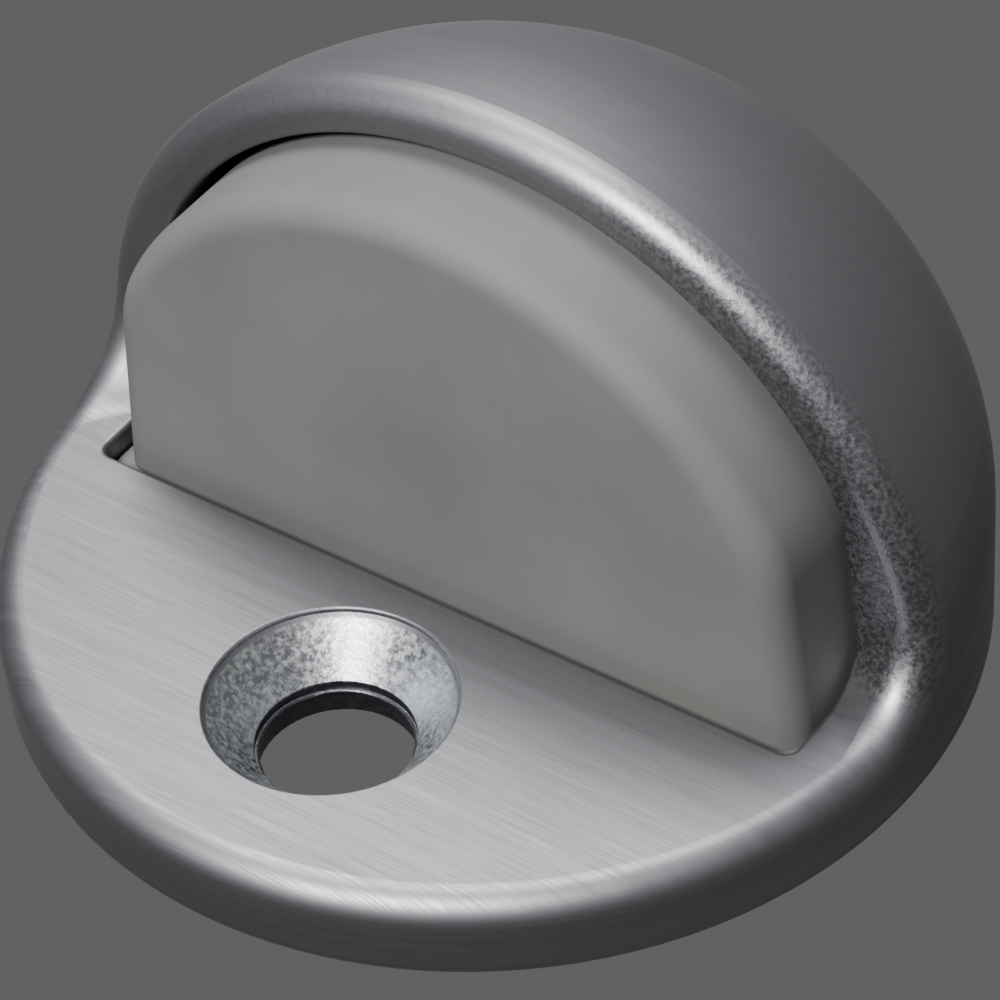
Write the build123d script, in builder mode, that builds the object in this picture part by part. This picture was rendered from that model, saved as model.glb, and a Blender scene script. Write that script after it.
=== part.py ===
from build123d import *
import math
import os

# Dome floor stop. Frame: millimetres, origin at the middle of the round base on the floor,
# +Z up, the bumper faces -Y, where the door arrives. The part is symmetric left to right.

# Outer form
base_diameter = 44.45
overall_height = 26.9
wall_height = 6.4            # straight part of the side wall, below the dome
shoulder_radius = 15.6       # arc that joins the side wall to the crown of the dome
base_edge_round = 0.7

# Flange and hood
flange_thickness = 4.3
hood_face_y = 0.8            # plane of the upright front face of the hood
hood_blend_inner = 2.0       # hollow curve from the flange up into the hood, at the pocket
hood_blend_outer = 6.5       # the same curve at the outer wall, where it runs out wide
rim_round = 1.4              # rounded outer lip of the flange and the hood

# Floor screw hole
screw_hole_y = -12.0
screw_hole_diameter = 7.14
countersink_diameter = 11.1
countersink_angle = 82.0
countersink_lip = 0.25       # short upright wall at the mouth of the countersink
countersink_edge_round = 0.12

# Bumper pocket, open at the front of the hood and at the underside
pocket_front_y = -4.7
pocket_depth = 11.7
pocket_half_width = 18.9     # at the floor; the sides lean in from here
pocket_side_lean = 5.0       # degrees
pocket_crown_radius = 19.5
pocket_crown_z = 24.7
pocket_shoulder_round = 8.0
pocket_corner_round = 0.6
pocket_mouth_round = 0.25
hood_wall = 2.0              # least metal between the pocket and the outside of the dome

# Bumper
bumper_front_gap = 0.9
bumper_side_gap = 0.4
bumper_crown_gap = 0.5
bumper_back_gap = 0.15
bumper_floor_gap = 0.6
bumper_edge_round = 1.5
bumper_foot_gap = 0.15       # the foot fills the pocket more closely than the block above it
bumper_foot_top = 3.0

# Retainer plate and its two screws, under the back of the bumper
plate_thickness = 1.0
plate_recess_depth = 2.2
plate_length = 32.0
plate_overlap = 4.6          # how far the plate reaches under the bumper
plate_tail = 6.4             # how far it reaches over the casting behind the pocket
plate_edge_gap = 0.2
plate_corner_round = 2.0
retainer_screw_spacing = 22.0
retainer_screw_inset = 3.2   # from the back edge of the plate
retainer_screw_diameter = 2.9
retainer_screw_length = 6.0
retainer_head_diameter = 5.6
retainer_head_height = 1.0
retainer_hole_clearance = 0.25
retainer_pilot_clearance = 0.05
retainer_drive_width = 0.8
retainer_drive_length = 3.0
retainer_drive_depth = 0.6

# Underside
relief_depth = 0.8
base_rim_width = 2.6
screw_boss_radius = 6.0
pocket_land = 1.5
core_count = 3
core_width = 4.0
core_rib = 1.6
core_wall = 2.8
core_back_margin = 2.0       # metal between the pocket and the cored slots

# Derived sizes
base_radius = base_diameter / 2
shoulder_x = base_radius - shoulder_radius
crown_reach = overall_height - shoulder_radius
crown_centre_z = (crown_reach**2 - shoulder_x**2 - wall_height**2) / (2 * (crown_reach - wall_height))
crown_radius = overall_height - crown_centre_z
shoulder_angle = math.degrees(math.atan2(wall_height - crown_centre_z, shoulder_x))
bumper_foot_half_width = (
    pocket_half_width - bumper_foot_top * math.tan(math.radians(pocket_side_lean)) - bumper_foot_gap
)
scoop_inner_x = pocket_half_width - pocket_corner_round
scoop_outer_x = base_radius
pocket_back_y = pocket_front_y + pocket_depth
plate_top_z = plate_recess_depth
plate_bottom_z = plate_recess_depth - plate_thickness
plate_front_y = pocket_back_y - plate_overlap
plate_back_y = pocket_back_y + plate_tail
plate_mid_y = (plate_front_y + plate_back_y) / 2
plate_width = plate_back_y - plate_front_y
retainer_screw_y = plate_back_y - retainer_screw_inset
retainer_pilot_depth = retainer_screw_length - plate_thickness + 2 * retainer_drive_depth
core_pitch = core_width + core_rib
core_front_y = pocket_back_y + core_back_margin
cut_margin = 1.0             # how far cutting shapes run past the surface that they open


def dome_outline(inset):
    """Half outline of the dome, drawn this far inside its outer surface, for a turn about Z."""
    CenterArc((shoulder_x, wall_height), shoulder_radius - inset, 0, shoulder_angle)
    CenterArc((0, crown_centre_z), crown_radius - inset, shoulder_angle, 90 - shoulder_angle)
    Polyline(
        (0, overall_height - inset),
        (0, 0),
        (base_radius - inset, 0),
        (base_radius - inset, wall_height),
    )


def d_outline(half_width, top_radius, top_z):
    """Closed D shape: sides that lean in from the floor, under a round crown."""
    lean = math.radians(pocket_side_lean)
    centre_z = top_z - top_radius
    # The side line lies this far from the crown's centre, square to itself
    side_reach = half_width * math.cos(lean) - centre_z * math.sin(lean)
    spring = lean + math.acos(side_reach / top_radius)
    spring_x = top_radius * math.cos(spring)
    spring_z = centre_z + top_radius * math.sin(spring)
    foot_x = half_width + cut_margin * math.tan(lean)
    CenterArc((0, centre_z), top_radius, math.degrees(spring), 180 - 2 * math.degrees(spring))
    Polyline(
        (-spring_x, spring_z),
        (-foot_x, -cut_margin),
        (foot_x, -cut_margin),
        (spring_x, spring_z),
    )


def scoop_outline(blend):
    """Side view of the space in front of the hood, with this radius in its lower corner."""
    CenterArc((hood_face_y - blend, flange_thickness + blend), blend, -90, 90)
    Polyline(
        (hood_face_y, flange_thickness + blend),
        (hood_face_y, overall_height + cut_margin),
        (-base_diameter, overall_height + cut_margin),
        (-base_diameter, flange_thickness),
        (hood_face_y - blend, flange_thickness),
    )


# Space inside the dome that the bumper pocket may use
with BuildPart() as dome_inside:
    with BuildSketch(Plane.YZ):
        with BuildLine():
            dome_outline(hood_wall)
        make_face()
    revolve(axis=Axis.Z)
    extrude(dome_inside.faces().sort_by(Axis.Z)[0], amount=cut_margin)

# Bumper pocket: a D-shaped slot with rounded front corners, stopped by the dome's wall
with BuildPart() as pocket:
    with BuildSketch(Plane.XZ.offset(-pocket_front_y)) as pocket_sketch:
        with BuildLine():
            d_outline(pocket_half_width, pocket_crown_radius, pocket_crown_z)
        make_face()
        fillet(pocket_sketch.vertices().group_by(Axis.Y)[-1], pocket_shoulder_round)
    extrude(amount=-pocket_depth)
    upright_edges = pocket.edges().filter_by_position(Axis.Z, -cut_margin, pocket_crown_z / 2)
    fillet(upright_edges.group_by(Axis.Y)[0].filter_by(Axis.X, reverse=True), pocket_corner_round)
    add(dome_inside.part, mode=Mode.INTERSECT)

# Cored slots that lighten the casting behind the pocket
with BuildPart() as cores:
    with BuildSketch(Plane.YZ):
        with BuildLine():
            dome_outline(core_wall)
        make_face()
    revolve(axis=Axis.Z)
    with BuildSketch(Plane.XY):
        with GridLocations(core_pitch, 0, core_count, 1):
            with Locations((0, core_front_y)):
                Rectangle(core_width, base_radius, align=(Align.CENTER, Align.MIN))
    extrude(amount=overall_height, mode=Mode.INTERSECT)

# Space in front of the hood: its lower corner opens out from the pocket to the outer wall
with BuildPart() as scoop:
    for reach, blend in (
        (-scoop_outer_x, hood_blend_outer),
        (-scoop_inner_x, hood_blend_inner),
        (scoop_inner_x, hood_blend_inner),
        (scoop_outer_x, hood_blend_outer),
    ):
        with BuildSketch(Plane.YZ.offset(reach)):
            with BuildLine():
                scoop_outline(blend)
            make_face()
    loft(ruled=True)

# Housing: one casting with flange, hood, pocket, screw hole and relieved underside
with BuildPart() as housing:
    with BuildSketch(Plane.YZ):
        with BuildLine():
            dome_outline(0)
        make_face()
    revolve(axis=Axis.Z)
    fillet(housing.edges().group_by(Axis.Z)[0], base_edge_round)
    add(scoop.part, mode=Mode.SUBTRACT)
    # Rounded lip that runs around the flange and up over the hood
    curved_edges = housing.edges().filter_by(GeomType.LINE, reverse=True)
    raised_edges = curved_edges.filter_by_position(Axis.Z, flange_thickness, overall_height)
    fillet(raised_edges.filter_by_position(Axis.Y, -base_radius, hood_face_y), rim_round)
    # Underside relief around the rim, the screw boss and the edge of the pocket
    with BuildSketch(Plane.XY):
        Circle(base_radius - base_rim_width)
        with Locations((0, screw_hole_y)):
            Circle(screw_boss_radius, mode=Mode.SUBTRACT)
        with Locations((0, pocket_front_y - pocket_land)):
            Rectangle(
                2 * (pocket_half_width + pocket_land),
                pocket_depth + 2 * pocket_land,
                align=(Align.CENTER, Align.MIN),
                mode=Mode.SUBTRACT,
            )
    extrude(amount=relief_depth, mode=Mode.SUBTRACT)
    # Countersunk hole for the floor screw, with a short upright lip
    with Locations((0, screw_hole_y, flange_thickness)):
        Hole(countersink_diameter / 2, depth=countersink_lip)
    fillet(housing.edges(Select.LAST).group_by(Axis.Z)[-1], countersink_edge_round)
    with Locations((0, screw_hole_y, flange_thickness - countersink_lip)):
        CounterSinkHole(
            screw_hole_diameter / 2,
            countersink_diameter / 2,
            counter_sink_angle=countersink_angle,
        )
    # Recess for the retainer plate, and pilot holes for its screws
    with BuildSketch(Plane.XY):
        with Locations((0, plate_mid_y)):
            RectangleRounded(
                plate_length + 2 * plate_edge_gap,
                plate_width + 2 * plate_edge_gap,
                plate_corner_round + plate_edge_gap,
            )
    extrude(amount=plate_recess_depth, mode=Mode.SUBTRACT)
    with BuildSketch(Plane.XY):
        with Locations((0, retainer_screw_y)):
            with GridLocations(retainer_screw_spacing, 0, 2, 1):
                Circle(retainer_screw_diameter / 2 + retainer_pilot_clearance)
    extrude(amount=plate_top_z + retainer_pilot_depth, mode=Mode.SUBTRACT)
    add(cores.part, mode=Mode.SUBTRACT)
    add(pocket.part, mode=Mode.SUBTRACT)
    # Softened mouth of the pocket
    mouth_edges = housing.edges(Select.LAST).filter_by_position(Axis.Y, pocket_front_y, hood_face_y)
    mouth_edges = mouth_edges.filter_by_position(Axis.Z, flange_thickness, overall_height)
    fillet(mouth_edges, pocket_mouth_round)

# Bumper: a D-shaped rubber block with a rounded front edge and a wider foot, stepped over the plate
with BuildPart() as bumper:
    with BuildSketch(Plane.XZ.offset(-pocket_front_y - bumper_front_gap)) as bumper_sketch:
        with BuildLine():
            d_outline(
                pocket_half_width - bumper_side_gap,
                pocket_crown_radius - bumper_crown_gap,
                pocket_crown_z - bumper_crown_gap,
            )
        make_face()
        fillet(bumper_sketch.vertices().group_by(Axis.Y)[-1], pocket_shoulder_round - bumper_side_gap)
    extrude(amount=-(pocket_depth - bumper_front_gap - bumper_back_gap))
    front_edges = bumper.edges().group_by(Axis.Y)[0]
    fillet(front_edges.filter_by_position(Axis.Z, 0, overall_height), bumper_edge_round)
    with BuildSketch(Plane.XY) as bumper_foot:
        with Locations((0, pocket_front_y + bumper_foot_gap)):
            Rectangle(
                2 * bumper_foot_half_width,
                pocket_depth - bumper_foot_gap - bumper_back_gap,
                align=(Align.CENTER, Align.MIN),
            )
        fillet(bumper_foot.vertices().group_by(Axis.Y)[0], pocket_corner_round)
    extrude(amount=bumper_foot_top)
    with BuildSketch(Plane.YZ):
        with BuildLine():
            dome_outline(hood_wall + bumper_back_gap)
        make_face()
    revolve(axis=Axis.Z, mode=Mode.INTERSECT)
    with BuildSketch(Plane.XY):
        Rectangle(base_diameter, base_diameter)
    extrude(amount=bumper_floor_gap, mode=Mode.SUBTRACT)
    with BuildSketch(Plane.XY):
        with Locations((0, plate_front_y - plate_edge_gap)):
            Rectangle(base_diameter, base_diameter, align=(Align.CENTER, Align.MIN))
    extrude(amount=plate_top_z, mode=Mode.SUBTRACT)

# Retainer plate: holds the bumper up in its pocket
with BuildPart() as retainer_plate:
    with BuildSketch(Plane.XY.offset(plate_bottom_z)):
        with Locations((0, plate_mid_y)):
            RectangleRounded(plate_length, plate_width, plate_corner_round)
        with Locations((0, retainer_screw_y)):
            with GridLocations(retainer_screw_spacing, 0, 2, 1):
                Circle(retainer_screw_diameter / 2 + retainer_hole_clearance, mode=Mode.SUBTRACT)
    extrude(amount=plate_thickness)

# Retainer screws: low heads below the plate, threaded ends up in the casting
with BuildPart() as retainer_screws:
    with BuildSketch(Plane.XY.offset(plate_bottom_z)):
        with Locations((0, retainer_screw_y)):
            with GridLocations(retainer_screw_spacing, 0, 2, 1):
                Circle(retainer_screw_diameter / 2)
    extrude(amount=retainer_screw_length)
    with BuildSketch(Plane.XY.offset(plate_bottom_z)):
        with Locations((0, retainer_screw_y)):
            with GridLocations(retainer_screw_spacing, 0, 2, 1):
                Circle(retainer_head_diameter / 2)
    extrude(amount=-retainer_head_height)
    with BuildSketch(Plane.XY.offset(plate_bottom_z - retainer_head_height)):
        with Locations((0, retainer_screw_y)):
            with GridLocations(retainer_screw_spacing, 0, 2, 1):
                Rectangle(retainer_drive_length, retainer_drive_width)
                Rectangle(retainer_drive_width, retainer_drive_length)
    extrude(amount=retainer_drive_depth, mode=Mode.SUBTRACT)

housing.part.label = "housing"
bumper.part.label = "bumper"
retainer_plate.part.label = "retainer_plate"
retainer_screws.part.label = "retainer_screws"

os.makedirs("parts", exist_ok=True)
export_step(housing.part, "parts/housing.step")
export_step(bumper.part, "parts/bumper.step")
export_step(retainer_plate.part, "parts/retainer_plate.step")
export_step(retainer_screws.part, "parts/retainer_screws.step")
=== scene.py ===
import math

import bpy
from mathutils import Matrix, Vector


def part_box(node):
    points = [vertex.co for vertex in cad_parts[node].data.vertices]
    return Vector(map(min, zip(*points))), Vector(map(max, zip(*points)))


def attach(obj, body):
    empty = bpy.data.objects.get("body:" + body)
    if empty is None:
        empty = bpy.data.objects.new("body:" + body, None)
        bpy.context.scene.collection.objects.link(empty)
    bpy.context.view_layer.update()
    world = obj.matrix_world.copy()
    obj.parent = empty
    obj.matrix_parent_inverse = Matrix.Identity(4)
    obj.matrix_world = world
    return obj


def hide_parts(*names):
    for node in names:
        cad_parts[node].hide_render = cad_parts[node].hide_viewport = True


bl_info = {
    "name": "Dome Door Stop",
    "version": (1, 0, 0),
    "blender": (4, 5, 0),
    "location": "View3D > Sidebar > Door Stop",
    "description": "Finishes a dome floor door stop on its engineering frame",
    "category": "Object",
}

MM = 0.001

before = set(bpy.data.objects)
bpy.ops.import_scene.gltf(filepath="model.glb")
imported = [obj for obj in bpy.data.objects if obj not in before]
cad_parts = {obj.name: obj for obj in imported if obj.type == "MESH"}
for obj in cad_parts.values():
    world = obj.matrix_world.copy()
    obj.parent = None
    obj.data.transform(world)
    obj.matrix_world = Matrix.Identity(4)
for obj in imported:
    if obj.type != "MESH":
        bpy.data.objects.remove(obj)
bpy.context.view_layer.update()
bumper_low, bumper_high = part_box("bumper")


class StageSettings(bpy.types.PropertyGroup):
    """Where the camera stands and how the studio is lit."""

    azimuth: bpy.props.FloatProperty(
        name="Azimuth",
        description="Camera's turn about Z, from the front",
        default=math.radians(38.39),
        subtype="ANGLE",
    )
    elevation: bpy.props.FloatProperty(
        name="Elevation",
        description="Camera's height angle above the floor",
        default=math.radians(42.75),
        subtype="ANGLE",
    )
    roll: bpy.props.FloatProperty(
        name="Roll",
        description="Camera's turn about its own line of sight",
        default=math.radians(-5.23),
        subtype="ANGLE",
    )
    distance: bpy.props.FloatProperty(
        name="Distance",
        description="From the middle of the base to the camera",
        default=192.5 * MM,
        unit="LENGTH",
    )
    shift_right: bpy.props.FloatProperty(
        name="Shift right",
        description="How far the camera stands to its own right",
        default=0.12 * MM,
        unit="LENGTH",
    )
    shift_up: bpy.props.FloatProperty(
        name="Shift up",
        description="How far the camera stands up in its own frame",
        default=4.6 * MM,
        unit="LENGTH",
    )
    lens: bpy.props.FloatProperty(
        name="Lens",
        description="Focal length on a 36 mm sensor",
        default=153.9,
    )
    table_glow: bpy.props.FloatProperty(
        name="Table glow",
        description="Light that the white table gives off",
        default=0.16,
    )
    ceiling_glow: bpy.props.FloatProperty(
        name="Ceiling",
        description="Strength of the soft light from straight above",
        default=1.3,
    )
    horizon_glow: bpy.props.FloatProperty(
        name="Horizon",
        description="Strength of the soft light from the sides of the room",
        default=0.14,
    )
    paper_colour: bpy.props.StringProperty(
        name="Paper",
        description="Colour of the studio table as sRGB hex",
        default="#F6F6F6",
    )


class HousingSettings(bpy.types.PropertyGroup):
    """The satin plated casting."""

    plate_colour: bpy.props.StringProperty(
        name="Plate",
        description="Colour of the brushed chrome as sRGB hex",
        default="#6C6D70",
    )
    streak_colour: bpy.props.StringProperty(
        name="Streak",
        description="Colour of the lighter brush marks as sRGB hex",
        default="#8F9093",
    )
    cast_colour: bpy.props.StringProperty(
        name="Cast skin",
        description="Colour of the plated skin in the countersink, as sRGB hex",
        default="#BFC2C4",
    )
    cast_dark_colour: bpy.props.StringProperty(
        name="Cast hollows",
        description="Colour of the duller patches on the cast skin, as sRGB hex",
        default="#9A9CA0",
    )
    dome_rough: bpy.props.FloatProperty(
        name="Dome roughness",
        description="How dull the dome is; lower is shinier",
        default=0.56,
        subtype="FACTOR",
    )
    bore_colour: bpy.props.StringProperty(
        name="Bore",
        description="Colour of the bore below the countersink, as sRGB hex",
        default="#55565A",
    )
    # Drawn coarser than real brush lines, which are a few hundredths of a millimetre, so that they show
    brush_width: bpy.props.FloatProperty(
        name="Brush line",
        description="Width of one brush line",
        default=0.07 * MM,
        unit="LENGTH",
    )
    brush_length: bpy.props.FloatProperty(
        name="Brush stroke",
        description="Length of one brush line",
        default=4.5 * MM,
        unit="LENGTH",
    )
    grain: bpy.props.FloatProperty(
        name="Cast grain",
        description="Size of the mottles on the cast skin",
        default=0.3 * MM,
        unit="LENGTH",
    )
    pebble: bpy.props.FloatProperty(
        name="Pebble",
        description="Size of the pebbles on the hood's lip",
        default=0.22 * MM,
        unit="LENGTH",
    )
    hole_y: bpy.props.FloatProperty(
        name="Hole place",
        description="Place of the screw hole along Y",
        default=-12.0 * MM,
        unit="LENGTH",
    )
    flange_top: bpy.props.FloatProperty(
        name="Flange top",
        description="Height of the flange's level top",
        default=4.3 * MM,
        unit="LENGTH",
    )
    lip_back: bpy.props.FloatProperty(
        name="Lip",
        description="Where the hood's rounded lip ends along Y",
        default=1.4 * MM,
        unit="LENGTH",
    )
    bore_radius: bpy.props.FloatProperty(
        name="Bore",
        description="Radius of the bore below the countersink",
        default=3.57 * MM,
        unit="LENGTH",
    )
    flash_height: bpy.props.FloatProperty(
        name="Flash height",
        description="Height of the fin of casting flash in the bore",
        default=1.25 * MM,
        unit="LENGTH",
    )
    flash_reach: bpy.props.FloatProperty(
        name="Flash reach",
        description="How far the fin stands in from the bore",
        default=0.22 * MM,
        unit="LENGTH",
    )
    flash_flatness: bpy.props.FloatProperty(
        name="Flash flatness",
        description="Half the thickness of the fin as a share of its reach",
        default=0.6,
        subtype="FACTOR",
    )
    bore_top: bpy.props.FloatProperty(
        name="Bore top",
        description="Height where the countersink meets the bore",
        default=1.77 * MM,
        unit="LENGTH",
    )
    hole_radius: bpy.props.FloatProperty(
        name="Hole mouth",
        description="Radius inside which the skin of the countersink shows",
        default=5.45 * MM,
        unit="LENGTH",
    )


class BumperSettings(bpy.types.PropertyGroup):
    """The moulded rubber block under the hood."""

    rubber_colour: bpy.props.StringProperty(
        name="Rubber",
        description="Colour of the rubber as sRGB hex",
        default="#535452",
    )
    worn_colour: bpy.props.StringProperty(
        name="Bloom",
        description="Colour of the paler bloom on the rubber as sRGB hex",
        default="#5B5C59",
    )
    bloom_size: bpy.props.FloatProperty(
        name="Bloom size",
        description="Width of one paler patch",
        default=9.0 * MM,
        unit="LENGTH",
    )
    grain: bpy.props.FloatProperty(
        name="Rubber grain",
        description="Size of the fine grain on the rubber",
        default=0.12 * MM,
        unit="LENGTH",
    )
    side_lean: bpy.props.FloatProperty(
        name="Side lean",
        description="How far the sides lean in",
        default=math.radians(5.0),
        subtype="ANGLE",
    )
    foot_half_width: bpy.props.FloatProperty(
        name="Half width",
        description="Half the block's width, where its sides meet the floor",
        default=18.5 * MM,
        unit="LENGTH",
    )
    crown_radius: bpy.props.FloatProperty(
        name="Crown radius",
        description="Radius of the round top",
        default=19.0 * MM,
        unit="LENGTH",
    )
    shoulder_round: bpy.props.FloatProperty(
        name="Shoulder",
        description="Radius between the sides and the round top",
        default=7.6 * MM,
        unit="LENGTH",
    )
    shoulder_steps: bpy.props.IntProperty(
        name="Shoulder steps",
        description="Flats along one shoulder",
        default=20,
    )
    crown_steps: bpy.props.IntProperty(
        name="Crown steps",
        description="Flats along the round top",
        default=96,
    )
    edge_round: bpy.props.FloatProperty(
        name="Edge",
        description="Radius of the rounded front edge",
        default=1.5 * MM,
        unit="LENGTH",
    )
    block_front_y: bpy.props.FloatProperty(
        name="Front",
        description="Place of the front face along Y",
        default=-3.8 * MM,
        unit="LENGTH",
    )
    foot_height: bpy.props.FloatProperty(
        name="Foot height",
        description="Top of the wider foot in the flange's slot",
        default=3.0 * MM,
        unit="LENGTH",
    )
    foot_round: bpy.props.FloatProperty(
        name="Foot corner",
        description="Radius of the foot's front corners",
        default=0.6 * MM,
        unit="LENGTH",
    )
    dome_radius: bpy.props.FloatProperty(
        name="Back dome",
        description="Radius that the upper back is trimmed to, inside the hood",
        default=20.35 * MM,
        unit="LENGTH",
    )
    dome_centre_z: bpy.props.FloatProperty(
        name="Back dome centre",
        description="Height of that dome's centre",
        default=4.38 * MM,
        unit="LENGTH",
    )
    step_y: bpy.props.FloatProperty(
        name="Step",
        description="Where the underside steps up over the retainer plate",
        default=2.2 * MM,
        unit="LENGTH",
    )
    step_z: bpy.props.FloatProperty(
        name="Step height",
        description="Height of the underside over the retainer plate",
        default=2.2 * MM,
        unit="LENGTH",
    )


def linear(hex_code):
    """Linear RGBA of an sRGB hex colour."""
    parts = [int(hex_code[i : i + 2], 16) / 255 for i in (1, 3, 5)]
    return [p / 12.92 if p <= 0.04045 else ((p + 0.055) / 1.055) ** 2.4 for p in parts] + [1.0]


def new_material(name):
    """An empty node material and its tree."""
    material = bpy.data.materials.new(name)
    material.use_nodes = True
    material.node_tree.nodes.clear()
    return material, material.node_tree


def add_node(tree, kind, inputs=(), **settings):
    """Add one node; inputs maps a socket's name or number to a value or to another node's output.

    A Mix node's socket 0 is its factor; 2 and 3 are the numbers that it mixes, 4 and 5 the vectors,
    and 6 and 7 the colours. Its outputs 0, 1 and 2 are the number, the vector and the colour. A Map
    Range node's socket 0 is its value, 1 and 2 are the range it comes from, and 3 and 4 the range
    it goes to.
    """
    node = tree.nodes.new(kind)
    for name, value in settings.items():
        setattr(node, name, value)
    for key, value in dict(inputs).items():
        if isinstance(value, bpy.types.NodeSocket):
            tree.links.new(value, node.inputs[key])
        else:
            node.inputs[key].default_value = value
    return node


def deselect_all():
    """Leave edit mode and select nothing."""
    if bpy.context.object and bpy.context.object.mode != "OBJECT":
        bpy.ops.object.mode_set(mode="OBJECT")
    bpy.ops.object.select_all(action="DESELECT")


def apply_modifier(piece, kind, **settings):
    """Add a modifier with these settings and apply it."""
    deselect_all()
    bpy.context.view_layer.objects.active = piece
    piece.select_set(True)
    modifier = piece.modifiers.new(kind.title(), kind)
    for name, value in settings.items():
        setattr(modifier, name, value)
    bpy.ops.object.modifier_apply(modifier=modifier.name)


def cut_with(piece, cutter, operation):
    """Apply a boolean with the cutter, and remove the cutter."""
    apply_modifier(piece, "BOOLEAN", operation=operation, solver="EXACT", object=cutter)
    bpy.data.objects.remove(cutter)


def settle(piece):
    """Put the piece's place into its mesh, so that its object sits at the origin."""
    deselect_all()
    bpy.context.view_layer.objects.active = piece
    piece.select_set(True)
    bpy.ops.object.transform_apply(location=True, rotation=True, scale=True)


def settle_order(context):
    """Number the active mesh's parts by distance from a point off every plane of symmetry,
    because a boolean numbers them differently each time. The 3D cursor stays at that point."""
    off_every_plane = (0.31, 0.73, 0.57)
    context.scene.cursor.location = off_every_plane
    bpy.ops.object.mode_set(mode="EDIT")
    bpy.ops.mesh.select_all(action="SELECT")
    bpy.ops.mesh.sort_elements(type="CURSOR_DISTANCE", elements={"VERT", "EDGE", "FACE"})
    bpy.ops.object.mode_set(mode="OBJECT")


def select_edges(piece, wanted):
    """In edit mode, select only the edges whose two ends the test accepts."""
    bpy.ops.mesh.select_all(action="DESELECT")
    bpy.ops.object.mode_set(mode="OBJECT")
    for edge in piece.data.edges:
        ends = [piece.matrix_world @ piece.data.vertices[v].co for v in edge.vertices]
        edge.select = wanted(*ends)
    bpy.ops.object.mode_set(mode="EDIT")
    bpy.ops.mesh.select_mode(type="EDGE")


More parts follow.
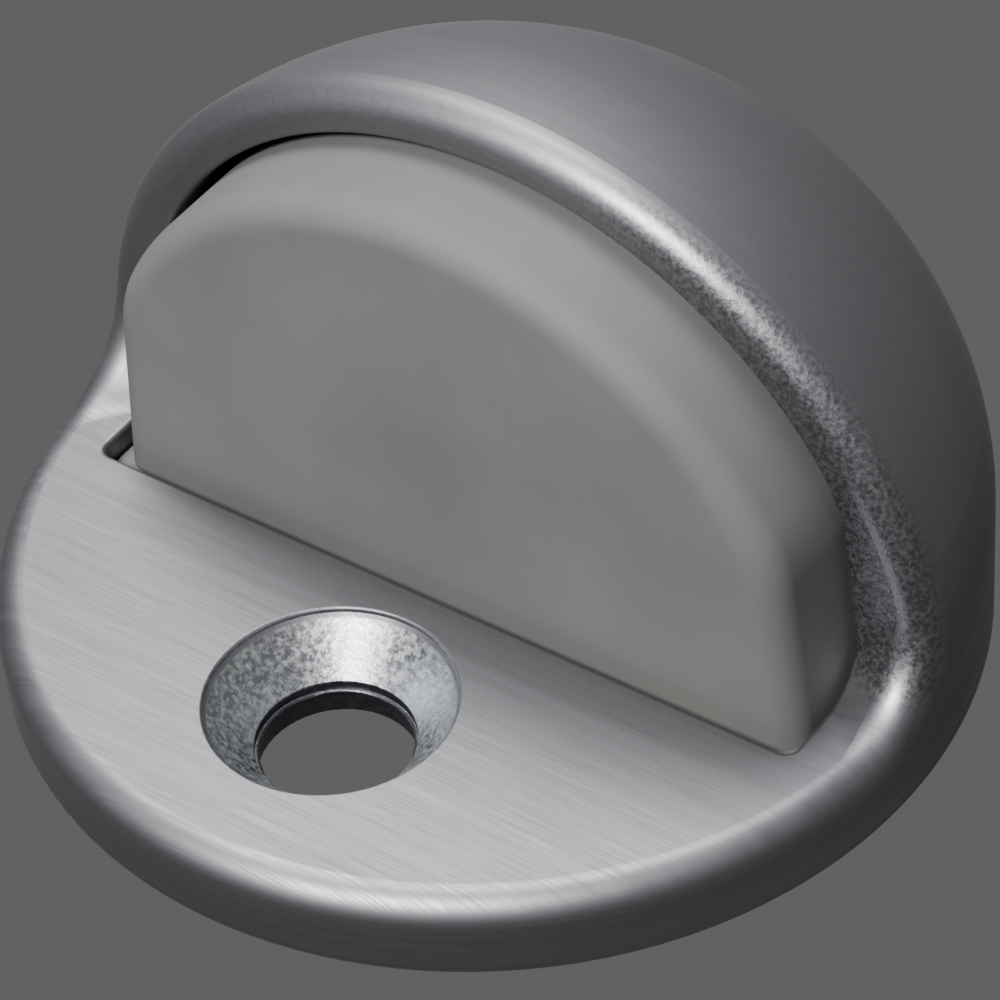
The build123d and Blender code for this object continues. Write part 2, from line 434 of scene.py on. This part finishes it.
def brushed_chrome(settings):
    """Satin chrome over a casting: fine parallel brush marks that soften every reflection, a duller
    dome, pebbled skin on one run of the hood's lip, and bright mottled cast skin in the countersink."""
    # Where one finish gives way to the next: outwards, up from the flange, and along X
    finish_fade = 1.2 * MM
    wall_starts, wall_full = 21.6 * MM, 22.1 * MM
    lip_starts, lip_full = 0.3 * MM, 1.5 * MM
    pebbles_start, pebbles_full = 3.0 * MM, 11.0 * MM
    hole_fade = 0.1 * MM
    bore_below, bore_above = 0.15 * MM, 0.05 * MM
    line_depth, cast_depth, pebble_depth = 0.006 * MM, 0.04 * MM, 0.02 * MM
    material, tree = new_material("satin_chrome_brushed")
    place = add_node(tree, "ShaderNodeTexCoord").outputs["Object"]
    axes = add_node(tree, "ShaderNodeSeparateXYZ", {0: place}).outputs
    facing = add_node(tree, "ShaderNodeNewGeometry").outputs["Normal"]
    slopes = add_node(tree, "ShaderNodeSeparateXYZ", {0: facing}).outputs

    # Distance from the upright axis, and from the axis of the screw hole
    flat = add_node(tree, "ShaderNodeCombineXYZ", {0: axes[0], 1: axes[1]}).outputs[0]
    reach = add_node(tree, "ShaderNodeVectorMath", {0: flat}, operation="LENGTH").outputs["Value"]
    hole_axis = (0.0, settings.hole_y, 0.0)
    hole_reach = add_node(
        tree, "ShaderNodeVectorMath", {0: flat, 1: hole_axis}, operation="DISTANCE"
    ).outputs["Value"]

    # The side wall is brushed round the base; all the rest is brushed in planes of constant Y
    upright = add_node(tree, "ShaderNodeMath", {0: slopes[2]}, operation="ABSOLUTE").outputs[0]
    steep = add_node(
        tree,
        "ShaderNodeMapRange",
        {0: upright, 1: 0.25, 2: 0.55, 3: 1.0, 4: 0.0},
        interpolation_type="SMOOTHSTEP",
    ).outputs[0]
    outside = add_node(
        tree,
        "ShaderNodeMapRange",
        {0: reach, 1: wall_starts, 2: wall_full},
        interpolation_type="SMOOTHSTEP",
    ).outputs[0]
    wall = add_node(tree, "ShaderNodeMath", {0: steep, 1: outside}, operation="MULTIPLY").outputs[0]

    thin = 1 / settings.brush_width
    slow = 1 / settings.brush_length
    top_map = add_node(tree, "ShaderNodeMapping", {0: place, 3: (slow, thin, slow)}).outputs[0]
    wall_map = add_node(tree, "ShaderNodeMapping", {0: place, 3: (slow, slow, thin)}).outputs[0]
    brush_map = add_node(
        tree, "ShaderNodeMix", {0: wall, 4: top_map, 5: wall_map}, data_type="VECTOR"
    ).outputs[1]
    lines = add_node(
        tree, "ShaderNodeTexNoise", {"Vector": brush_map, "Scale": 1.0, "Detail": 3.0, "Roughness": 0.6}
    ).outputs["Fac"]
    broad_map = add_node(
        tree, "ShaderNodeVectorMath", {0: brush_map, "Scale": 0.13}, operation="SCALE"
    ).outputs[0]
    bands = add_node(
        tree, "ShaderNodeTexNoise", {"Vector": broad_map, "Scale": 1.0, "Detail": 2.0, "Roughness": 0.5}
    ).outputs["Fac"]
    scratches = add_node(
        tree,
        "ShaderNodeMapRange",
        {0: lines, 1: 0.36, 2: 0.66, 3: 0.15, 4: 0.6},
    ).outputs[0]

    # The skin of the casting, in fine mottles
    mottles = add_node(
        tree,
        "ShaderNodeTexNoise",
        {"Vector": place, "Scale": 1 / settings.grain, "Detail": 4.0, "Roughness": 0.65},
    ).outputs["Fac"]
    # The hood's lip is pebbled instead of brushed
    on_lip = add_node(
        tree,
        "ShaderNodeMapRange",
        {0: axes[1], 1: settings.lip_back, 2: settings.lip_back + finish_fade, 3: 1.0, 4: 0.0},
        interpolation_type="SMOOTHSTEP",
    ).outputs[0]
    raised = add_node(
        tree,
        "ShaderNodeMapRange",
        {0: axes[2], 1: settings.flange_top + lip_starts, 2: settings.flange_top + lip_full},
        interpolation_type="SMOOTHSTEP",
    ).outputs[0]
    on_lip = add_node(tree, "ShaderNodeMath", {0: on_lip, 1: raised}, operation="MULTIPLY").outputs[0]
    # The pebbles are faint on the crown and full on the run down to the foot at +X
    one_run = add_node(
        tree,
        "ShaderNodeMapRange",
        {0: axes[0], 1: pebbles_start, 2: pebbles_full, 3: 0.15, 4: 1.0},
        interpolation_type="SMOOTHSTEP",
    ).outputs[0]
    on_lip = add_node(tree, "ShaderNodeMath", {0: on_lip, 1: one_run}, operation="MULTIPLY").outputs[0]
    pebbles = add_node(
        tree,
        "ShaderNodeTexNoise",
        {"Vector": place, "Scale": 1 / settings.pebble, "Detail": 3.0, "Roughness": 0.7},
    ).outputs["Fac"]
    in_hole = add_node(
        tree,
        "ShaderNodeMapRange",
        {0: hole_reach, 1: settings.hole_radius - hole_fade, 2: settings.hole_radius, 3: 1.0, 4: 0.0},
        interpolation_type="SMOOTHSTEP",
    ).outputs[0]

    shift = add_node(
        tree, "ShaderNodeMapRange", {0: bands, 1: 0.35, 2: 0.65, 3: -0.08, 4: 0.14}
    ).outputs[0]
    tone = add_node(
        tree, "ShaderNodeMath", {0: scratches, 1: shift}, operation="ADD", use_clamp=True
    ).outputs[0]
    # The marks are fainter on the dome than on the level flange
    marked = add_node(
        tree,
        "ShaderNodeMapRange",
        {0: axes[2], 1: settings.flange_top, 2: settings.flange_top + finish_fade, 3: 1.0, 4: 0.3},
        interpolation_type="SMOOTHSTEP",
    ).outputs[0]
    tone = add_node(tree, "ShaderNodeMix", {0: marked, 2: 0.45, 3: tone}, data_type="FLOAT").outputs[0]
    lip_tone = add_node(
        tree, "ShaderNodeMapRange", {0: pebbles, 1: 0.38, 2: 0.62, 3: 0.25, 4: 0.85}
    ).outputs[0]
    tone = add_node(
        tree, "ShaderNodeMix", {0: on_lip, 2: tone, 3: lip_tone}, data_type="FLOAT"
    ).outputs[0]
    brushed_colour = add_node(
        tree,
        "ShaderNodeMix",
        {0: tone, 6: linear(settings.plate_colour), 7: linear(settings.streak_colour)},
        data_type="RGBA",
    ).outputs[2]
    # Below the countersink the bore is darker
    in_bore = add_node(
        tree,
        "ShaderNodeMapRange",
        {
            0: axes[2],
            1: settings.bore_top - bore_below,
            2: settings.bore_top + bore_above,
            3: 1.0,
            4: 0.0,
        },
        interpolation_type="SMOOTHSTEP",
    ).outputs[0]
    patchy = add_node(tree, "ShaderNodeMapRange", {0: mottles, 1: 0.42, 2: 0.6}).outputs[0]
    cone_colour = add_node(
        tree,
        "ShaderNodeMix",
        {0: patchy, 6: linear(settings.cast_dark_colour), 7: linear(settings.cast_colour)},
        data_type="RGBA",
    ).outputs[2]
    hole_colour = add_node(
        tree,
        "ShaderNodeMix",
        {0: in_bore, 6: cone_colour, 7: linear(settings.bore_colour)},
        data_type="RGBA",
    ).outputs[2]
    colour = add_node(
        tree,
        "ShaderNodeMix",
        {0: in_hole, 6: brushed_colour, 7: hole_colour},
        data_type="RGBA",
    ).outputs[2]

    brushed_rough = add_node(
        tree, "ShaderNodeMapRange", {0: lines, 1: 0.3, 2: 0.7, 3: 0.56, 4: 0.42}
    ).outputs[0]
    brushed_rough = add_node(
        tree, "ShaderNodeMix", {0: marked, 2: settings.dome_rough, 3: brushed_rough}, data_type="FLOAT"
    ).outputs[0]
    lip_rough = add_node(
        tree, "ShaderNodeMapRange", {0: pebbles, 1: 0.35, 2: 0.65, 3: 0.34, 4: 0.5}
    ).outputs[0]
    brushed_rough = add_node(
        tree, "ShaderNodeMix", {0: on_lip, 2: brushed_rough, 3: lip_rough}, data_type="FLOAT"
    ).outputs[0]
    cast_rough = add_node(
        tree, "ShaderNodeMapRange", {0: mottles, 1: 0.35, 2: 0.65, 3: 0.28, 4: 0.48}
    ).outputs[0]
    rough = add_node(
        tree, "ShaderNodeMix", {0: in_hole, 2: brushed_rough, 3: cast_rough}, data_type="FLOAT"
    ).outputs[0]

    line_bump = add_node(
        tree, "ShaderNodeBump", {"Strength": 0.5, "Distance": line_depth, "Height": lines}
    ).outputs[0]
    cast_bump = add_node(
        tree, "ShaderNodeBump", {"Strength": 0.6, "Distance": cast_depth, "Height": mottles}
    ).outputs[0]
    lip_bump = add_node(
        tree, "ShaderNodeBump", {"Strength": 0.6, "Distance": pebble_depth, "Height": pebbles}
    ).outputs[0]
    bump = add_node(
        tree, "ShaderNodeMix", {0: on_lip, 4: line_bump, 5: lip_bump}, data_type="VECTOR"
    ).outputs[1]
    bump = add_node(
        tree, "ShaderNodeMix", {0: in_hole, 4: bump, 5: cast_bump}, data_type="VECTOR"
    ).outputs[1]

    shader = add_node(
        tree,
        "ShaderNodeBsdfPrincipled",
        {
            "Base Color": colour,
            "Metallic": 1.0,
            "Roughness": rough,
            "Normal": bump,
        },
    )
    add_node(tree, "ShaderNodeOutputMaterial", {0: shader.outputs[0]})
    return material


def moulded_rubber(settings):
    """Grey moulded rubber: matt, faintly clouded by bloom, with a fine grain."""
    grain_depth = 0.01 * MM
    material, tree = new_material("grey_rubber_moulded")
    place = add_node(tree, "ShaderNodeTexCoord").outputs["Object"]
    cloud = add_node(
        tree,
        "ShaderNodeTexNoise",
        {"Vector": place, "Scale": 1 / settings.bloom_size, "Detail": 2.0, "Roughness": 0.5},
    ).outputs["Fac"]
    grain = add_node(
        tree,
        "ShaderNodeTexNoise",
        {"Vector": place, "Scale": 1 / settings.grain, "Detail": 2.0, "Roughness": 0.6},
    ).outputs["Fac"]
    amount = add_node(tree, "ShaderNodeMapRange", {0: cloud, 1: 0.3, 2: 0.7}).outputs[0]
    colour = add_node(
        tree,
        "ShaderNodeMix",
        {0: amount, 6: linear(settings.rubber_colour), 7: linear(settings.worn_colour)},
        data_type="RGBA",
    ).outputs[2]
    rough = add_node(tree, "ShaderNodeMapRange", {0: grain, 3: 0.66, 4: 0.82}).outputs[0]
    bump = add_node(
        tree, "ShaderNodeBump", {"Strength": 0.25, "Distance": grain_depth, "Height": grain}
    ).outputs[0]
    shader = add_node(
        tree,
        "ShaderNodeBsdfPrincipled",
        {"Base Color": colour, "Roughness": rough, "Normal": bump, "IOR": 1.45},
    )
    add_node(tree, "ShaderNodeOutputMaterial", {0: shader.outputs[0]})
    return material


def zinc_plated_steel(name, colour, grain):
    """Bright zinc on rolled steel: pale, slightly blue, with a soft crystalline mottle."""
    mottle_depth = 0.01 * MM
    material, tree = new_material(name)
    place = add_node(tree, "ShaderNodeTexCoord").outputs["Object"]
    mottles = add_node(
        tree, "ShaderNodeTexNoise", {"Vector": place, "Scale": 1 / grain, "Detail": 3.0, "Roughness": 0.6}
    ).outputs["Fac"]
    rough = add_node(tree, "ShaderNodeMapRange", {0: mottles, 1: 0.3, 2: 0.7, 3: 0.3, 4: 0.5}).outputs[0]
    tint = add_node(
        tree,
        "ShaderNodeMix",
        {0: mottles, 6: linear(colour), 7: linear("#D2D5DA")},
        data_type="RGBA",
    ).outputs[2]
    bump = add_node(
        tree, "ShaderNodeBump", {"Strength": 0.3, "Distance": mottle_depth, "Height": mottles}
    ).outputs[0]
    shader = add_node(
        tree,
        "ShaderNodeBsdfPrincipled",
        {"Base Color": tint, "Metallic": 1.0, "Roughness": rough, "Normal": bump},
    )
    add_node(tree, "ShaderNodeOutputMaterial", {0: shader.outputs[0]})
    return material


def finish_cad_node(name, material):
    """Give a carried-over node this material."""
    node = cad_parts[name]
    node.data.materials.clear()
    node.data.materials.append(material)


class DOORSTOP_OT_housing(bpy.types.Operator):
    """Finish the casting in satin chrome"""

    bl_idname = "doorstop.housing"
    bl_label = "Housing"

    def execute(self, context):
        finish_cad_node("housing", brushed_chrome(context.scene.doorstop_housing))
        return {"FINISHED"}


class DOORSTOP_OT_flash(bpy.types.Operator):
    """Add the thin ragged fin inside the bore"""

    bl_idname = "doorstop.flash"
    bl_label = "Casting flash"

    def execute(self, context):
        settings = context.scene.doorstop_housing
        deselect_all()
        bpy.ops.mesh.primitive_torus_add(
            location=(0, settings.hole_y, settings.flash_height),
            major_segments=96,
            minor_segments=12,
            major_radius=settings.bore_radius,
            minor_radius=settings.flash_reach,
        )
        fin = context.active_object
        fin.name = "casting_flash"
        bpy.ops.object.mode_set(mode="EDIT")
        bpy.ops.mesh.select_all(action="SELECT")
        bpy.ops.transform.resize(value=(1, 1, settings.flash_flatness))
        bpy.ops.transform.vertex_random(offset=settings.flash_reach / 3, seed=4)
        bpy.ops.mesh.vertices_smooth(factor=0.5, repeat=3)
        bpy.ops.object.mode_set(mode="OBJECT")
        settle(fin)
        bpy.ops.object.shade_smooth_by_angle(angle=math.radians(60))
        fin.data.materials.append(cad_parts["housing"].data.materials[0])
        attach(fin, "root")
        return {"FINISHED"}


class DOORSTOP_OT_bumper(bpy.types.Operator):
    """Model the rubber bumper in the pocket"""

    bl_idname = "doorstop.bumper"
    bl_label = "Bumper"

    def execute(self, context):
        settings = context.scene.doorstop_bumper
        lean, shoulder, crown = settings.side_lean, settings.shoulder_round, settings.crown_radius
        front, back, floor = settings.block_front_y, bumper_high.y, bumper_low.z
        near = 0.02 * MM

        # A shoulder's centre lies one radius inside the leaning side and inside the crown
        crown_z = bumper_high.z - crown
        inside_side = settings.foot_half_width * math.cos(lean) - crown_z * math.sin(lean) - shoulder
        along_side = math.sqrt((crown - shoulder) ** 2 - inside_side**2)
        turn = math.atan2(along_side, inside_side)
        shoulder_x = inside_side * math.cos(lean) - along_side * math.sin(lean)
        shoulder_z = crown_z + inside_side * math.sin(lean) + along_side * math.cos(lean)
        spring_x = shoulder_x + shoulder * math.cos(lean)
        spring_z = shoulder_z + shoulder * math.sin(lean)
        foot_x = settings.foot_half_width - floor * math.tan(lean)

        # One side wall, spun over the shoulders and the crown, then drawn down the other side
        deselect_all()
        bpy.ops.mesh.primitive_plane_add(size=1)
        bumper = context.active_object
        bumper.name = "rubber_bumper"
        wall = (
            (foot_x, front, floor),
            (spring_x, front, spring_z),
            (foot_x, back, floor),
            (spring_x, back, spring_z),
        )
        for vertex, corner in zip(bumper.data.vertices, wall):
            vertex.co = corner
        bpy.ops.object.mode_set(mode="EDIT")
        select_edges(bumper, lambda a, b: abs(a.z - spring_z) < near and abs(b.z - spring_z) < near)
        for steps, angle, centre_x, centre_z in (
            (settings.shoulder_steps, turn, shoulder_x, shoulder_z),
            (settings.crown_steps, math.pi - 2 * (lean + turn), 0, crown_z),
            (settings.shoulder_steps, turn, -shoulder_x, shoulder_z),
        ):
            bpy.ops.mesh.spin(steps=steps, angle=angle, center=(centre_x, 0, centre_z), axis=(0, 1, 0))
        down_the_side = (spring_x - foot_x, 0, floor - spring_z)
        bpy.ops.mesh.extrude_region_move(TRANSFORM_OT_translate={"value": down_the_side})

        # Front, back and underside, then the rounded front edge
        for held in (
            lambda a, b: abs(a.y - front) < near and abs(b.y - front) < near,
            lambda a, b: abs(a.y - back) < near and abs(b.y - back) < near,
        ):
            select_edges(bumper, held)
            bpy.ops.mesh.edge_face_add()
        select_edges(bumper, lambda a, b: abs(a.z - floor) < near and abs(b.z - floor) < near)
        bpy.ops.mesh.edge_face_add()
        bpy.ops.mesh.select_all(action="SELECT")
        bpy.ops.mesh.normals_make_consistent(inside=False)
        select_edges(
            bumper,
            lambda a, b: abs(a.y - front) < near
            and abs(b.y - front) < near
            and max(a.z, b.z) > floor + near,
        )
        bpy.ops.mesh.bevel(offset=settings.edge_round, segments=8, affect="EDGES")
        bpy.ops.object.mode_set(mode="OBJECT")

        # The wider foot that fills the flange's slot
        foot_width = 2 * bumper_high.x
        bpy.ops.mesh.primitive_cube_add(
            size=1,
            location=(0, (bumper_low.y + back) / 2, (floor + settings.foot_height) / 2),
            scale=(foot_width, back - bumper_low.y, settings.foot_height - floor),
        )
        foot = context.active_object
        settle(foot)
        bpy.ops.object.mode_set(mode="EDIT")
        select_edges(
            foot,
            lambda a, b: abs(a.z - b.z) > near
            and abs(a.y - bumper_low.y) < near
            and abs(b.y - bumper_low.y) < near,
        )
        bpy.ops.mesh.bevel(offset=settings.foot_round, segments=6, affect="EDGES")
        bpy.ops.object.mode_set(mode="OBJECT")
        cut_with(bumper, foot, "UNION")

        # The back follows the inside of the dome, and the underside clears the retainer plate
        bpy.ops.mesh.primitive_uv_sphere_add(
            segments=128,
            ring_count=96,
            radius=settings.dome_radius,
            location=(0, 0, settings.dome_centre_z),
        )
        cut_with(bumper, context.active_object, "INTERSECT")
        bpy.ops.mesh.primitive_cube_add(
            size=2,
            location=(0, settings.step_y + foot_width, settings.step_z - foot_width),
            scale=(foot_width, foot_width, foot_width),
        )
        cut_with(bumper, context.active_object, "DIFFERENCE")

        deselect_all()
        bumper.select_set(True)
        context.view_layer.objects.active = bumper
        settle_order(context)
        bpy.ops.object.shade_smooth_by_angle(angle=math.radians(25))
        bumper.data.materials.clear()
        bumper.data.materials.append(moulded_rubber(settings))
        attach(bumper, "root")
        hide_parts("bumper")
        return {"FINISHED"}


class DOORSTOP_OT_retainer(bpy.types.Operator):
    """Finish the retainer plate and its screws"""

    bl_idname = "doorstop.retainer"
    bl_label = "Retainer"

    def execute(self, context):
        finish_cad_node("retainer_plate", zinc_plated_steel("zinc_plated_sheet", "#A9ADB4", 0.8 * MM))
        finish_cad_node("retainer_screws", zinc_plated_steel("zinc_plated_screw", "#B4B7BC", 0.3 * MM))
        return {"FINISHED"}


class DOORSTOP_OT_stage(bpy.types.Operator):
    """Add the table, the lights and the camera"""

    bl_idname = "doorstop.stage"
    bl_label = "Stage"

    def execute(self, context):
        settings = context.scene.doorstop_stage
        deselect_all()
        # Known fault: settle_order has moved the cursor, so the table hangs over the door stop.
        # A settle_order that puts the cursor back would leave the table on the floor.
        bpy.ops.mesh.primitive_plane_add(size=4.0)
        table = context.active_object
        table.name = "studio_table"
        paper, tree = new_material("white_studio_table")
        shader = add_node(
            tree,
            "ShaderNodeBsdfPrincipled",
            {
                "Base Color": linear(settings.paper_colour),
                "Roughness": 0.9,
                "Emission Color": linear(settings.paper_colour),
                "Emission Strength": settings.table_glow,
            },
        )
        add_node(tree, "ShaderNodeOutputMaterial", {0: shader.outputs[0]})
        table.data.materials.append(paper)

        azimuth, elevation, roll = settings.azimuth, settings.elevation, settings.roll
        back = Vector(
            (
                math.sin(azimuth) * math.cos(elevation),
                -math.cos(azimuth) * math.cos(elevation),
                math.sin(elevation),
            )
        )
        level_right = Vector((math.cos(azimuth), math.sin(azimuth), 0))
        level_up = back.cross(level_right)
        right = math.cos(roll) * level_right + math.sin(roll) * level_up
        up = math.cos(roll) * level_up - math.sin(roll) * level_right
        place = settings.distance * back + settings.shift_right * right + settings.shift_up * up
        bpy.ops.object.camera_add()
        camera = context.active_object
        camera.name = "studio_camera"
        facing = Matrix((right, up, back)).transposed().to_4x4()
        camera.matrix_world = Matrix.Translation(place) @ facing
        camera.data.lens = settings.lens
        camera.data.sensor_width = 36.0
        camera.data.clip_start = 0.005
        context.scene.camera = camera

        world = bpy.data.worlds.new("studio")
        world.use_nodes = True
        room = world.node_tree
        room.nodes.clear()
        # A pale ceiling over darker walls
        way = add_node(room, "ShaderNodeTexCoord").outputs["Generated"]
        height = add_node(room, "ShaderNodeSeparateXYZ", {0: way}).outputs[2]
        glow = add_node(
            room,
            "ShaderNodeMapRange",
            {0: height, 1: 0.0, 2: 0.9, 3: settings.horizon_glow, 4: settings.ceiling_glow},
            interpolation_type="SMOOTHSTEP",
        ).outputs[0]
        light = add_node(room, "ShaderNodeBackground", {"Color": linear("#F2F2F4"), "Strength": glow})
        add_node(room, "ShaderNodeOutputWorld", {0: light.outputs[0]})
        context.scene.world = world
        # Each lamp's name, place and width in metres, and power in watts
        for name, where, size, power in (
            ("key", (0.03, -0.30, 0.34), 0.10, 4.6),
            ("top", (-0.12, 0.10, 0.42), 0.20, 2.8),
        ):
            bpy.ops.object.light_add(type="AREA", location=where)
            light = context.active_object
            light.name = name + "_light"
            light.data.size = size
            light.data.energy = power
            light.rotation_euler = (-Vector(where)).to_track_quat("-Z", "Y").to_euler()
        return {"FINISHED"}


class DOORSTOP_PT_panel(bpy.types.Panel):
    """Buttons and sizes for the door stop"""

    bl_idname = "DOORSTOP_PT_panel"
    bl_label = "Door Stop"
    bl_space_type = "VIEW_3D"
    bl_region_type = "UI"
    bl_category = "Door Stop"

    def draw(self, context):
        for operator in operators:
            self.layout.operator(operator.bl_idname)
        for name in settings_groups:
            group = getattr(context.scene, name)
            for key in group.bl_rna.properties.keys():
                if key not in ("rna_type", "name"):
                    self.layout.prop(group, key)


settings_groups = {
    "doorstop_stage": StageSettings,
    "doorstop_housing": HousingSettings,
    "doorstop_bumper": BumperSettings,
}
operators = (
    DOORSTOP_OT_housing,
    DOORSTOP_OT_flash,
    DOORSTOP_OT_bumper,
    DOORSTOP_OT_retainer,
    DOORSTOP_OT_stage,
)


def register():
    for cls in (*settings_groups.values(), *operators, DOORSTOP_PT_panel):
        bpy.utils.register_class(cls)
    for name, group in settings_groups.items():
        setattr(bpy.types.Scene, name, bpy.props.PointerProperty(type=group))


def unregister():
    for name in settings_groups:
        delattr(bpy.types.Scene, name)
    for cls in reversed((*settings_groups.values(), *operators, DOORSTOP_PT_panel)):
        bpy.utils.unregister_class(cls)


def main():
    register()
    bpy.ops.doorstop.housing()
    bpy.ops.doorstop.flash()
    bpy.ops.doorstop.bumper()
    bpy.ops.doorstop.retainer()
    bpy.ops.doorstop.stage()


if __name__ == "__main__":
    main()
